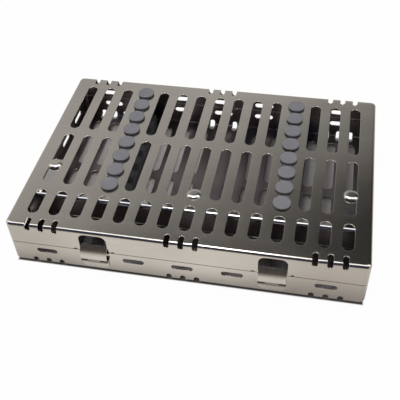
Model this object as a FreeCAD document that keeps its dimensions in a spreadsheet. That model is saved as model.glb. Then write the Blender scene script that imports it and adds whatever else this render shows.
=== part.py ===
import FreeCAD, Part
import os
import re
import Sketcher

# Instrument sterilization cassette: two perforated steel trays, hinged at the back and latched
# at the front. X runs along the length, -Y is the latch side, and Z = 0 is the underside of the
# silicone feet. Lengths are in millimetres.

sizes = {
    # Trays
    "box_length": 280.0,
    "box_depth": 194.0,
    "base_height": 22.0,
    "lid_height": 20.8,
    "seam_gap": 0.2,
    "steel": 0.9,
    "corner_radius": 4.5,
    "bend_radius": 2.5,
    # Long slots of the floor and the lid
    "slot_pitch": 17.5,
    "slot_width": 8.75,
    "slot_margin": 12.5,
    # Short notches over the front and back bends
    "notch_width": 4.2,
    "notch_pitch": 11.0,
    "notch_reach": 8.6,
    "notch_drop": 5.7,
    "notch_group_place": 110.7,
    # Obround openings of the walls
    "opening_length": 17.0,
    "opening_width": 4.5,
    "opening_level": 15.0,
    "opening_inner_place": 39.0,
    "opening_outer_place": 110.0,
    "end_opening_pitch": 35.0,
    # Silicone rails with their plugs
    "rail_column": 4.0,
    "rail_width": 11.5,
    "rail_overhang": 6.0,
    "base_rail_height": 14.0,
    "lid_rail_height": 7.0,
    "seat_width": 8.0,
    "seat_depth": 7.0,
    "seat_chamfer": 1.0,
    "head_radius": 7.2,
    "head_thickness": 1.8,
    "head_gap": 0.6,
    "neck_radius": 4.0,
    # Dividers and their rivets
    "divider_inset": 3.3,
    "divider_web": 18.0,
    "divider_bend": 1.8,
    "divider_end_gap": 3.0,
    "flange_depth": 9.5,
    "ear_width": 15.0,
    "ear_reach": 7.0,
    "ear_chamfer": 3.0,
    "rivet_radius": 6.0,
    "rivet_dome": 2.0,
    "rivet_rim": 0.5,
    "shank_radius": 2.5,
    "shank_clearance": 0.1,
    "rivet_tail_radius": 4.0,
    "rivet_tail": 1.0,
    # Hinges of the back wall
    "hinge_place": 75.0,
    "hinge_length": 40.0,
    "hinge_leaf": 0.8,
    "hinge_leaf_height": 12.0,
    "hinge_barrel": 1.9,
    "pin_radius": 0.9,
    "pin_clearance": 0.05,
    "knuckle_gap": 0.2,
    "swing_clearance": 0.3,
    # Latches of the front wall
    "latch_place": 69.75,
    "latch_width": 21.5,
    "latch_sheet": 0.9,
    "latch_barrel": 1.6,
    "latch_pin_level": 13.6,
    "latch_leaf_level": 4.2,
    "latch_leaf_chamfer": 3.0,
    "latch_knuckle": 10.0,
    "latch_top_bend": 1.2,
    "hook_width": 18.0,
    "hook_thickness": 0.8,
    "hook_clearance": 0.3,
    "hook_overlap": 0.8,
    "window_gap": 0.25,
    "window_top_gap": 3.3,
    "window_radius": 4.0,
    "sill_height": 2.8,
    "dot_radius": 1.3,
    "dot_place": 15.0,
}

derived = {
    # Slot grid: whole steps from the middle of the tray to its margins
    "half_columns": "floor((box_length / 2 - slot_margin - slot_width / 2) / slot_pitch)",
    "half_rows": "floor((box_depth / 2 - slot_margin - slot_width / 2) / slot_pitch + 0.5)",
    "back_row_back": "(half_rows - 0.5) * slot_pitch",
    "back_row_front": "(half_rows - 3.5) * slot_pitch",
    "middle_row_back": "(half_rows - 4.5) * slot_pitch",
    "middle_row_front": "-(half_rows - 2.5) * slot_pitch",
    "front_row_back": "-(half_rows - 1.5) * slot_pitch",
    "front_row_front": "-(half_rows - 0.5) * slot_pitch",
    # Levels above the surface that the feet stand on
    "foot_height": "head_thickness + head_gap",
    "seam_level": "foot_height + base_height + seam_gap / 2",
    "lid_top": "foot_height + base_height + seam_gap + lid_height",
    # Front face of the divider's web, and the back edge of its flange
    "web_face": "front_row_back + slot_width / 2 - divider_inset",
    "flange_back": "web_face + flange_depth",
    "ear_front": "web_face + divider_bend",
    "outer_rivet_place": "half_columns * slot_pitch",
    "outer_rivet_depth": "middle_row_front + slot_pitch",
    # Rise of a rivet's dome above its rim, and the radius of the sphere that it is cut from
    "dome_rise": "rivet_dome - rivet_rim",
    "dome_sphere": "(rivet_radius^2 + dome_rise^2) / (2 * dome_rise)",
    # Axes of the hinges and latches stand the same distance off their walls
    "hinge_offset": "hinge_barrel + swing_clearance",
    "reach": "hinge_offset + hinge_barrel",
    "latch_offset": "reach - hinge_barrel",
    "hinge_knuckle": "hinge_length / 3",
    "pin_bore": "pin_radius + pin_clearance",
    "sill_top": "base_height + seam_gap + sill_height",
    "latch_top": "sill_top + hook_clearance + hook_thickness",
}

doc = FreeCAD.newDocument("sterilization_cassette")
sheet = doc.addObject("Spreadsheet::Sheet", "Sizes")
for row, (alias, number) in enumerate(sizes.items(), start=1):
    sheet.set(f"A{row}", alias)
    sheet.set(f"B{row}", str(number))
    sheet.setAlias(f"B{row}", alias)
doc.recompute()


def formula(text):
    """The same sum, with every named size read from the sheet."""
    def reference(match):
        word = match.group(0)
        if word in sizes:
            return "Sizes." + word
        if word in derived:
            return "(" + formula(derived[word]) + ")"
        return word
    return re.sub(r"[a-z_]+", reference, text)


def bind(target, path, text):
    target.setExpression(path, formula(text))


class Drawing:
    """A sketch on a plane of its body; every coordinate is a sum of sizes."""

    def __init__(self, body, name, plane, offset):
        self.sketch = body.newObject("Sketcher::SketchObject", name)
        features = body.Origin.OriginFeatures
        support = [feature for feature in features if feature.Role == plane][0]
        self.sketch.AttachmentSupport = [(support, "")]
        self.sketch.MapMode = "FlatFace"
        bind(self.sketch, "AttachmentOffset.Base.z", offset)

    def number(self, text):
        return float(self.sketch.evalExpression(formula(text)))

    def measure(self, constraints, texts):
        """Add named dimensions together, and bind each of them to its sum of sizes."""
        first = self.sketch.ConstraintCount
        for number, constraint in enumerate(constraints, start=first):
            constraint.Name = f"size_{number}"
        self.sketch.addConstraint(constraints)
        for constraint, text in zip(constraints, texts):
            bind(self.sketch, "Constraints." + constraint.Name, text)

    def outline(self, corners):
        """A closed outline of straight edges through the given corners."""
        points = [FreeCAD.Vector(self.number(x), self.number(y), 0) for x, y in corners]
        ends = points[1:] + points[:1]
        lines = [Part.LineSegment(start, end) for start, end in zip(points, ends)]
        edges = self.sketch.addGeometry(lines)
        following = edges[1:] + edges[:1]
        joins = [Sketcher.Constraint("Coincident", *pair) for pair in
                 ((edge, 2, after, 1) for edge, after in zip(edges, following))]
        self.sketch.addConstraint(joins)
        dimensions = []
        for edge, point in zip(edges, points):
            dimensions.append(Sketcher.Constraint("DistanceX", -1, 1, edge, 1, point.x))
            dimensions.append(Sketcher.Constraint("DistanceY", -1, 1, edge, 1, point.y))
        self.measure(dimensions, [text for corner in corners for text in corner])
        return self

    def rectangle(self, left, right, low, high):
        return self.outline([(left, low), (right, low), (right, high), (left, high)])

    def slot(self, across, low, high, radius, flats, turned=False):
        """A slot between two end centres, with its ends rounded by a few flats."""
        corners = []
        step = 180 / flats
        for centre, start in ((high, 0), (low, 180)):
            for index in range(flats + 1):
                angle = start + index * step
                side = f"{across} + ({radius}) * cos({angle} deg)"
                along = f"{centre} + ({radius}) * sin({angle} deg)"
                corners.append((along, side) if turned else (side, along))
        return self.outline(corners)

    def notch(self, across, square, round_end, radius, flats):
        """A slot with a square end; the round one points down where the flats are negative."""
        corners = [(f"{across} - {radius}", square), (f"{across} + {radius}", square)]
        for index in range(abs(flats) + 1):
            angle = index * 180 / flats
            corners.append((f"{across} + ({radius}) * cos({angle} deg)",
                            f"{round_end} + ({radius}) * sin({angle} deg)"))
        return self.outline(corners)

    def disc(self, across, up, radius, flats):
        """A round outline as a regular polygon whose corners lie on the radius."""
        corners = []
        for index in range(flats):
            angle = (index + 0.5) * 360 / flats
            corners.append((f"{across} + ({radius}) * cos({angle} deg)",
                            f"{up} + ({radius}) * sin({angle} deg)"))
        return self.outline(corners)


class Piece:
    """One solid of the cassette, built feature by feature in a body of its own."""

    def __init__(self, label, inverted=False):
        self.body = doc.addObject("PartDesign::Body", label)
        if inverted:
            self.body.Placement.Rotation = FreeCAD.Rotation(FreeCAD.Vector(1, 0, 0), 180)

    def stand(self, across, depth, level):
        """Put the body's origin at a place on the cassette."""
        for axis, text in (("x", across), ("y", depth), ("z", level)):
            bind(self.body, "Placement.Base." + axis, text)
        return self

    def draw(self, name, plane="XY_Plane", offset="0"):
        return Drawing(self.body, name, plane, offset)

    def feature(self, kind, name):
        made = self.body.newObject("PartDesign::" + kind, name)
        self.body.Tip = made
        return made

    def extrude(self, kind, name, drawing, length, symmetric, backward):
        made = self.feature(kind, name)
        made.Profile = drawing.sketch
        made.SideType = "Symmetric" if symmetric else "One side"
        made.Reversed = backward
        bind(made, "Length", length)
        return made

    def pad(self, name, drawing, length, symmetric=False, backward=False):
        return self.extrude("Pad", name, drawing, length, symmetric, backward)

    def pocket(self, name, drawing, length, symmetric=True, backward=False):
        return self.extrude("Pocket", name, drawing, length, symmetric, backward)

    def loft(self, name, first, last):
        made = self.feature("AdditiveLoft", name)
        made.Profile = first.sketch
        made.Sections = [last.sketch]
        made.Ruled = True
        return made

    def repeat(self, name, originals, axis, count, spacing):
        """Copies of some features at even steps along an axis of the body."""
        made = self.feature("LinearPattern", name)
        made.Originals = originals
        features = self.body.Origin.OriginFeatures
        direction = [feature for feature in features if feature.Role == axis][0]
        made.Direction = (direction, [""])
        made.Mode = "Spacing"
        bind(made, "Offset", spacing)
        bind(made, "Occurrences", count)
        return made

    def edges(self, chosen):
        """Names of the edges of the latest feature that a test picks out."""
        doc.recompute()
        found = enumerate(self.body.Tip.Shape.Edges, start=1)
        return [f"Edge{index}" for index, edge in found if chosen(edge)]

    def dress(self, kind, name, chosen, path, length):
        base = self.body.Tip
        names = self.edges(chosen)
        made = self.feature(kind, name)
        made.Base = (base, names)
        bind(made, path, length)
        return made

    def fillet(self, name, chosen, radius):
        return self.dress("Fillet", name, chosen, "Radius", radius)

    def chamfer(self, name, chosen, length):
        return self.dress("Chamfer", name, chosen, "Size", length)

    def number(self, text):
        return float(self.body.evalExpression(formula(text)))


def runs_along(edge, axis):
    """Whether an edge is a straight line along one axis of its body."""
    if edge.Curve.TypeId != "Part::GeomLine":
        return False
    direction = edge.tangentAt(edge.FirstParameter)
    return abs(abs(direction.dot(axis)) - 1) < tiny


tiny = 1e-6

# A bend is three flats that touch its radius: a middle one at 45 degrees and one at each side
first_flat = "(2 - sqrt(2))"
side_flat = "(tan(22.5 deg) - tan(11.25 deg))"

along_x = FreeCAD.Vector(1, 0, 0)
along_y = FreeCAD.Vector(0, 1, 0)
along_z = FreeCAD.Vector(0, 0, 1)


def folded_tray(label, height, inverted):
    """A folded sheet with its floor at Z = 0 and its walls upward."""
    piece = Piece(label, inverted)
    outline = piece.draw("Outline")
    outline.rectangle("-box_length / 2", "box_length / 2", "-box_depth / 2", "box_depth / 2")
    piece.pad("Block", outline, height)
    piece.chamfer("Corner_flats", lambda edge: runs_along(edge, along_z),
                  f"corner_radius * {first_flat}")
    piece.chamfer("Corner_side_flats", lambda edge: runs_along(edge, along_z),
                  f"corner_radius * {side_flat}")
    piece.chamfer("Bend_flats", lambda edge: edge.BoundBox.ZMax < tiny,
                  f"bend_radius * {first_flat}")
    bend_edge = piece.number(f"bend_radius * {first_flat}")
    piece.chamfer("Bend_side_flats", lambda edge: edge.BoundBox.ZMax < tiny
                  or (abs(edge.BoundBox.ZMax - bend_edge) < tiny
                      and abs(edge.BoundBox.ZMin - bend_edge) < tiny),
                  f"bend_radius * {side_flat}")
    block = piece.body.Tip
    doc.recompute()
    rim = [f"Face{index}" for index, face in enumerate(block.Shape.Faces, start=1)
           if face.BoundBox.ZMin > piece.number(height) - tiny]
    shell = piece.feature("Thickness", "Shell")
    shell.Base = (block, rim)
    shell.Reversed = True
    bind(shell, "Value", "steel")
    return piece


def cut_wall_openings(piece, name, wall, flats):
    """A row of obrounds through the back wall, or the front one where the wall is negative."""
    lengthwise = "(opening_length - opening_width) / 2"
    places = ["-opening_outer_place", "-opening_inner_place", "0", "opening_inner_place",
              "opening_outer_place"]
    openings = piece.draw(name, "XZ_Plane", f"{-wall} * (box_depth - steel) / 2")
    for place in places:
        openings.slot("opening_level", f"{place} - {lengthwise}", f"{place} + {lengthwise}",
                      "opening_width / 2", flats, turned=True)
    piece.pocket(name + "_cut", openings, "2 * steel")


def cut_end_openings(piece, flats):
    """Obrounds through both end walls."""
    lengthwise = "(opening_length - opening_width) / 2"
    openings = piece.draw("End_openings", "YZ_Plane")
    for step in range(-2, 3):
        middle = f"{step} * end_opening_pitch"
        openings.slot("opening_level", f"{middle} - {lengthwise}", f"{middle} + {lengthwise}",
                      "opening_width / 2", flats, turned=True)
    piece.pocket("End_openings_cut", openings, "box_length + 2 * steel")


def cut_notches(piece, flats):
    """Three groups of notches over the front and back bends.

    The floor part is cut as high as the bend, and the wall part goes on above that.
    """
    floor_notches = piece.draw("Floor_notches")
    wall_notches = piece.draw("Wall_notches", "XZ_Plane")
    inner = "box_depth / 2 - notch_reach + notch_width / 2"
    outer = "box_depth / 2 + notch_width"
    for step in (-1, 0, 1):
        place = f"-notch_group_place + ({step}) * notch_pitch"
        floor_notches.notch(place, outer, inner, "notch_width / 2", -flats)
        floor_notches.notch(place, f"-({outer})", f"-({inner})", "notch_width / 2", flats)
        wall_notches.notch(place, "(steel + bend_radius) / 2", "notch_drop - notch_width / 2",
                           "notch_width / 2", flats)
    cuts = [piece.pocket("Floor_notch_group", floor_notches, "2 * bend_radius"),
            piece.pocket("Wall_notch_group", wall_notches, "box_depth + 2 * steel")]
    piece.repeat("Notch_groups", cuts, "X_Axis", "3", "notch_group_place")


def cut_slots(piece, side, flats):
    """Three slots in one column, then the column repeated along the tray."""
    slots = piece.draw("Slots")
    rows = (("back_row_front", "back_row_back"), ("middle_row_front", "middle_row_back"),
            ("front_row_front", "front_row_back"))
    for front, back in rows:
        low, high = (front, back) if side > 0 else ("-" + back, "-" + front)
        slots.slot("-half_columns * slot_pitch", low, high, "slot_width / 2", flats)
    column = piece.pocket("Slot_column", slots, "4 * steel")
    piece.repeat("Slot_columns", [column], "X_Axis", "2 * half_columns + 1", "slot_pitch")


def base_tray():
    piece = folded_tray("base_tray", "base_height", inverted=False)
    piece.stand("0", "0", "foot_height")
    cut_wall_openings(piece, "Back_openings", 1, flats=3)
    cut_wall_openings(piece, "Front_openings", -1, flats=4)
    cut_end_openings(piece, flats=3)
    cut_notches(piece, flats=3)
    cut_slots(piece, 1, flats=3)


def lid_tray():
    """The same tray turned over, with a window for each latch's hook and nicks beside it."""
    piece = folded_tray("lid_tray", "lid_height", inverted=True)
    piece.stand("0", "0", "lid_top")
    cut_wall_openings(piece, "Back_openings", -1, flats=3)
    wall_middle = "-(box_depth - steel) / 2"
    windows = piece.draw("Windows", "XZ_Plane", wall_middle)
    nicks = piece.draw("Nicks", "XZ_Plane", wall_middle)
    half_window = "(latch_width / 2 + window_gap)"
    for side in (-1, 1):
        centre = f"{side} * latch_place"
        windows.rectangle(f"{centre} - {half_window}", f"{centre} + {half_window}",
                          "window_top_gap", "lid_height - sill_height")
        for nick in (-1, 1):
            nicks.disc(f"{centre} + {nick} * dot_place", "lid_height", "dot_radius", flats=8)
    piece.pocket("Latch_windows", windows, "2 * steel")
    level = piece.number("window_top_gap")
    piece.chamfer("Window_corners", lambda edge: runs_along(edge, along_y)
                  and abs(edge.BoundBox.ZMin - level) < tiny, f"window_radius * {first_flat}")
    piece.chamfer("Window_side_flats", lambda edge: runs_along(edge, along_y)
                  and edge.BoundBox.ZMin < piece.number("window_radius + window_top_gap")
                  and edge.BoundBox.YMin > piece.number("box_depth / 2 - 2 * steel"),
                  f"window_radius * {side_flat}")
    piece.pocket("Seam_nicks", nicks, "2 * steel")
    cut_notches(piece, flats=4)
    cut_slots(piece, -1, flats=5)


def rail(label, place, height, side):
    """A silicone bar whose plugs snap through the slots, with a round head outside each."""
    piece = Piece(label, inverted=side < 0)
    piece.stand(place, "0", "foot_height" if side > 0 else "lid_top")
    low, high = "middle_row_front - rail_overhang", "back_row_back + rail_overhang"
    first = "middle_row_front"
    if side < 0:
        low, high = f"-({high})", f"-({low})"
        first = "-back_row_back"
    bar = piece.draw("Bar", "YZ_Plane")
    bar.rectangle(low, high, "steel", f"steel + {height}")
    piece.pad("Bar_pad", bar, "rail_width", symmetric=True)

    if side > 0:
        seat = piece.draw("Seat", "YZ_Plane")
        top = f"steel + {height}"
        left, right = f"{first} - seat_width / 2", f"{first} + seat_width / 2"
        floor, lip = f"{top} - seat_depth", f"{top} - seat_chamfer"
        seat.outline([(left, floor), (right, floor), (right, lip),
                      (f"{right} + seat_chamfer", top), (f"{left} - seat_chamfer", top),
                      (left, lip)])
        cut = piece.pocket("Seat_cut", seat, "2 * rail_width")
        piece.repeat("Seats", [cut], "Y_Axis", "2 * half_rows - 2", "slot_pitch")

    neck = piece.draw("Neck", offset="-head_gap")
    neck.disc("0", first, "neck_radius", flats=8)
    head = piece.draw("Head", offset="-foot_height")
    head.disc("0", first, "head_radius", flats=12 if side > 0 else 16)
    plug = [piece.pad("Neck_pad", neck, "head_gap + 2 * steel"),
            piece.pad("Head_pad", head, "head_thickness")]
    piece.repeat("Plugs", plug, "Y_Axis", "2 * half_rows - 2", "slot_pitch")


def divider(label, side):
    """A folded strip that parts off the accessory bay, with three ears for its rivets."""
    piece = Piece(label, inverted=side < 0)
    piece.stand("0", "0", "foot_height" if side > 0 else "lid_top")
    end = "(box_length / 2 - steel - divider_end_gap)"
    turned = f"{side} * "
    fold = piece.draw("Fold", "YZ_Plane")
    front, back = f"{turned}(web_face)", f"{turned}(flange_back)"
    behind = f"{turned}(web_face + steel)"
    fold.outline([(front, "steel"), (back, "steel"), (back, "2 * steel"), (behind, "2 * steel"),
                  (behind, "steel + divider_web"), (front, "steel + divider_web")])
    piece.pad("Fold_pad", fold, f"2 * {end}", symmetric=True)
    heel = piece.number(front)
    piece.fillet("Fold_bend", lambda edge: runs_along(edge, along_x)
                 and abs(edge.BoundBox.YMin - heel) < tiny
                 and abs(edge.BoundBox.ZMin - piece.number("steel")) < tiny, "divider_bend")

    ears = piece.draw("Ears", offset="steel")
    holes = piece.draw("Rivet_holes", offset="steel")
    for across, depth in rivet_places():
        near, far = f"{turned}(ear_front)", f"{turned}({depth} + ear_reach)"
        cut = f"{turned}({depth} + ear_reach - ear_chamfer)"
        left, right = f"{across} - ear_width / 2", f"{across} + ear_width / 2"
        ears.outline([(left, near), (right, near), (right, cut), (f"{right} - ear_chamfer", far),
                      (f"{left} + ear_chamfer", far), (left, cut)])
        holes.disc(across, f"{turned}({depth})", "shank_radius + shank_clearance", flats=8)
    piece.pad("Ears_pad", ears, "steel")
    piece.pocket("Rivet_hole_cuts", holes, "4 * steel")


def rivet_places():
    """Where the divider's rivets pass through the slots: two at the ends, one in the middle."""
    return (("-outer_rivet_place", "outer_rivet_depth"), ("0", "middle_row_front"),
            ("outer_rivet_place", "outer_rivet_depth"))


def divider_rivets(label, side):
    """Three domed rivets that clamp the divider's ears to the tray."""
    rivets = []
    for index, (across, depth) in enumerate(rivet_places(), start=1):
        piece = Piece(f"{label}_{index}", inverted=side < 0)
        piece.stand(across, depth, "foot_height" if side > 0 else "lid_top")
        rim = piece.draw("Rim", offset="-rivet_rim").disc("0", "0", "rivet_radius", flats=12)
        piece.pad("Rim_pad", rim, "rivet_rim")
        below = rim
        for name, share in (("Shoulder", "2 / 3"), ("Crown", "1 / 3")):
            radius = f"rivet_radius * {share}"
            height = f"rivet_rim + sqrt(dome_sphere^2 - ({radius})^2) - dome_sphere + dome_rise"
            ring = piece.draw(name, offset=f"-({height})").disc("0", "0", radius, flats=12)
            piece.loft(name + "_loft", below, ring)
            below = ring
        shank = piece.draw("Shank").disc("0", "0", "shank_radius", flats=8)
        piece.pad("Shank_pad", shank, "2 * steel + rivet_tail")
        tail = piece.draw("Tail", offset="2 * steel").disc("0", "0", "rivet_tail_radius", flats=8)
        piece.pad("Tail_pad", tail, "rivet_tail")
        rivets.append(piece.body)
    group = doc.addObject("Part::Compound", label)
    group.Links = rivets


def barrel_hinge_leaf(label, place, side, knuckles):
    """A hinge leaf on the back wall, curled round the pin where its knuckles are."""
    piece = Piece(label, inverted=side < 0).stand(place, f"box_depth / 2", "seam_level")
    turned = f"{side} * "
    wall = piece.draw("Leaf", "YZ_Plane")
    low = f"-hinge_leaf_height"
    wall.rectangle("0", f"{turned}hinge_leaf", low, "0")
    piece.pad("Leaf_pad", wall, "hinge_length", symmetric=True)
    barrel = piece.draw("Barrel", "YZ_Plane")
    barrel.disc(f"{turned}hinge_offset", "0", "hinge_barrel", flats=12)
    piece.pad("Barrel_pad", barrel, "hinge_length", symmetric=True)
    bore = piece.draw("Bore", "YZ_Plane")
    bore.disc(f"{turned}hinge_offset", "0", "pin_bore / cos(15 deg)", flats=12)
    piece.pocket("Bore_cut", bore, "2 * hinge_length")

    gaps = piece.draw("Knuckle_gaps", "XZ_Plane")
    below, above = "-hinge_barrel - swing_clearance", "2 * hinge_barrel"
    for left, right in knuckles:
        gaps.rectangle(left, right, below, above)
    piece.pocket("Knuckle_gap_cuts", gaps, "6 * reach")


def hinges():
    inner, outer = "hinge_knuckle / 2", "hinge_length"
    middle_gap = [(f"-{inner} - knuckle_gap / 2", f"{inner} + knuckle_gap / 2")]
    outer_gaps = [(f"-{outer}", f"-{inner} + knuckle_gap / 2"), (f"{inner} - knuckle_gap / 2", outer)]
    for name, side in (("left", -1), ("right", 1)):
        place = f"{side} * hinge_place"
        barrel_hinge_leaf("base_hinge_leaf_" + name, place, 1, middle_gap)
        barrel_hinge_leaf("lid_hinge_leaf_" + name, place, -1, outer_gaps)
        pin("hinge_pin_" + name, place, "box_depth / 2 + hinge_offset", "seam_level", "hinge_length")


def pin(label, across, depth, level, length):
    piece = Piece(label).stand(across, depth, level)
    section = piece.draw("Section", "YZ_Plane")
    section.disc("0", "0", "pin_radius", flats=24)
    piece.pad("Pin_pad", section, length, symmetric=True)


def latch_leaf(label, place):
    """The fixed leaf under a latch, with a knuckle at each side of the latch's own."""
    piece = Piece(label).stand(place, "-box_depth / 2", "foot_height + latch_pin_level")
    leaf = piece.draw("Leaf", "YZ_Plane")
    low = "latch_leaf_level - latch_pin_level"
    leaf.rectangle("-latch_sheet", "0", low, "0")
    piece.pad("Leaf_pad", leaf, "latch_width", symmetric=True)
    bottom = piece.number(low)
    piece.chamfer("Leaf_corners", lambda edge: runs_along(edge, along_y)
                  and abs(edge.BoundBox.ZMin - bottom) < tiny, "latch_leaf_chamfer")
    barrel = piece.draw("Barrel", "YZ_Plane")
    barrel.disc("-latch_offset", "0", "latch_barrel", flats=12)
    piece.pad("Barrel_pad", barrel, "latch_width", symmetric=True)
    bore = piece.draw("Bore", "YZ_Plane")
    bore.disc("-latch_offset", "0", "pin_bore / cos(15 deg)", flats=12)
    piece.pocket("Bore_cut", bore, "2 * latch_width")
    gap = piece.draw("Knuckle_gap", "XZ_Plane")
    gap.rectangle("-latch_knuckle / 2 - knuckle_gap", "latch_knuckle / 2 + knuckle_gap",
                  "-latch_barrel - swing_clearance", "2 * latch_barrel")
    piece.pocket("Knuckle_gap_cut", gap, "6 * reach")


def latch_plate(label, place):
    """The swinging plate, whose top is folded in as a hook over the sill of the lid's window."""
    piece = Piece(label).stand(place, "-box_depth / 2", "foot_height + latch_pin_level")
    top = "latch_top - latch_pin_level"
    under = f"{top} - hook_thickness"
    tip = "steel + hook_overlap"
    plate = piece.draw("Plate", "YZ_Plane")
    plate.outline([("-reach", "0"), ("-reach + latch_sheet", "0"), ("-reach + latch_sheet", under),
                   (tip, under), (tip, top), ("-reach", top)])
    piece.pad("Plate_pad", plate, "latch_width", symmetric=True)
    summit = piece.number(top)
    front = piece.number("-reach")
    piece.fillet("Top_bend", lambda edge: runs_along(edge, along_x)
                 and abs(edge.BoundBox.ZMin - summit) < tiny
                 and abs(edge.BoundBox.YMin - front) < tiny, "latch_top_bend")
    sides = piece.draw("Hook_sides", offset=top)
    inner, outer = "hook_width / 2", "latch_width"
    start, end = "-reach + latch_sheet", "reach"
    sides.rectangle(f"-{outer}", f"-{inner}", start, end)
    sides.rectangle(inner, outer, start, end)
    piece.pocket("Hook_side_cuts", sides, "4 * hook_thickness")

    barrel = piece.draw("Barrel", "YZ_Plane")
    barrel.disc("-latch_offset", "0", "latch_barrel", flats=12)
    piece.pad("Barrel_pad", barrel, "latch_knuckle", symmetric=True)
    bore = piece.draw("Bore", "YZ_Plane")
    bore.disc("-latch_offset", "0", "pin_bore / cos(15 deg)", flats=12)
    piece.pocket("Bore_cut", bore, "2 * latch_width")
    corners = piece.draw("Lower_corners", "XZ_Plane")
    low, high = "-2 * latch_barrel", "latch_barrel + swing_clearance"
    for side in (-1, 1):
        near, far = f"{side} * latch_knuckle / 2", f"{side} * latch_width"
        corners.rectangle(near, far, low, high)
    piece.pocket("Lower_corner_cuts", corners, "6 * reach")


def latches():
    for name, side in (("left", -1), ("right", 1)):
        place = f"{side} * latch_place"
        latch_leaf("latch_leaf_" + name, place)
        latch_plate("latch_plate_" + name, place)
        pin("latch_pin_" + name, place, "-box_depth / 2 - latch_offset",
            "foot_height + latch_pin_level", "latch_width")


def rails():
    for name, side in (("left", -1), ("right", 1)):
        place = f"{side} * rail_column * slot_pitch"
        rail("base_rail_" + name, place, "base_rail_height", 1)
        rail("lid_rail_" + name, place, "lid_rail_height", -1)


def dividers():
    for name, side in (("base", 1), ("lid", -1)):
        divider(name + "_divider", side)
        divider_rivets(name + "_divider_rivets", side)


def export():
    """Check every object, then write each piece to a file of its own."""
    doc.recompute()
    failed = [item.Name for item in doc.Objects if {"Invalid", "Error"} & set(item.State)]
    if failed:
        raise RuntimeError("these objects failed: " + ", ".join(failed))
    groups = [item for item in doc.Objects if item.TypeId == "Part::Compound"]
    members = [body.Name for group in groups for body in group.Links]
    bodies = [item for item in doc.Objects if item.TypeId == "PartDesign::Body"]
    pieces = groups + [body for body in bodies if body.Name not in members]
    for piece in pieces:
        shape = piece.Shape
        if shape.isNull() or not shape.isValid():
            raise RuntimeError(piece.Label + " has no valid shape")
    os.makedirs("parts", exist_ok=True)
    for piece in pieces:
        piece.Shape.exportStep(f"parts/{piece.Label}.step")
        print(piece.Label, len(piece.Shape.Solids), round(piece.Shape.Volume, 1))


base_tray()
lid_tray()
rails()
dividers()
hinges()
latches()
export()
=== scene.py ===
import math

import bmesh
import bpy
import numpy as np
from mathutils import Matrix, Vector
from mathutils.geometry import delaunay_2d_cdt


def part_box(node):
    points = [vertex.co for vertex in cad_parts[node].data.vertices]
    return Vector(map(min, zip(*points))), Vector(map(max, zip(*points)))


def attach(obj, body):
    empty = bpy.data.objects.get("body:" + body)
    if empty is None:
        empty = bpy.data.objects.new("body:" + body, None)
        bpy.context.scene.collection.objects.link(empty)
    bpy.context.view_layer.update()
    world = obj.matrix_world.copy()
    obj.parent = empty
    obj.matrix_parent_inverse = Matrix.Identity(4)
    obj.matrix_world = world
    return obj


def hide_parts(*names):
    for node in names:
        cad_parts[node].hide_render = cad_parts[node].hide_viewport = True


# Instrument cassette: two perforated steel trays with silicone rails. Lengths are in millimetres
# here and become metres where they enter a mesh, a lamp or the camera.

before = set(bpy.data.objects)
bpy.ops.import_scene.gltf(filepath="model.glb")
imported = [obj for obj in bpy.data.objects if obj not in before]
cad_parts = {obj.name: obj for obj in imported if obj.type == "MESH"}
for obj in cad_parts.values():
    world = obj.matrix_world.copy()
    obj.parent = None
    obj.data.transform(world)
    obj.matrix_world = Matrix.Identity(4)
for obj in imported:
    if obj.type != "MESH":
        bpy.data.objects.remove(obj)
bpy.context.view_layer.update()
mm = 0.001
mergeDistance = 0.000001
sheetThickness = 0.9


# Camera

cameraSetup = {
    "place": (91.22, -411.67, 425.67),
    "turn": (44.357, 2.166, 11.011),    # degrees about X, Y and Z
    "lens": 60.70,
    "sensor": 36.0,
}


def makeCamera(setup):
    data = bpy.data.cameras.new("camera")
    data.lens = setup["lens"]
    data.sensor_width = setup["sensor"]
    data.clip_start = 0.01
    data.clip_end = 20
    camera = bpy.data.objects.new("camera", data)
    camera.location = [value * mm for value in setup["place"]]
    camera.rotation_euler = [math.radians(value) for value in setup["turn"]]
    bpy.context.scene.collection.objects.link(camera)
    bpy.context.scene.camera = camera


makeCamera(cameraSetup)
print("camera placed")


# Shader maths: each sum of wrapped sockets adds a Math node

class Wave:
    def __init__(self, tree, socket):
        self.tree = tree
        self.socket = socket

    def sum(self, operation, first, second):
        node = self.tree.nodes.new("ShaderNodeMath")
        node.operation = operation
        for socket, term in zip(node.inputs, (first, second)):
            if isinstance(term, Wave):
                self.tree.links.new(term.socket, socket)
            else:
                socket.default_value = term
        return Wave(self.tree, node.outputs[0])

    def __add__(self, other):
        return self.sum("ADD", self, other)

    def __radd__(self, other):
        return self.sum("ADD", other, self)

    def __sub__(self, other):
        return self.sum("SUBTRACT", self, other)

    def __rsub__(self, other):
        return self.sum("SUBTRACT", other, self)

    def __mul__(self, other):
        return self.sum("MULTIPLY", self, other)

    def __rmul__(self, other):
        return self.sum("MULTIPLY", other, self)

    def __abs__(self):
        return self.sum("ABSOLUTE", self, 0.0)

    def largest(self, other):
        return self.sum("MAXIMUM", self, other)


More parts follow.
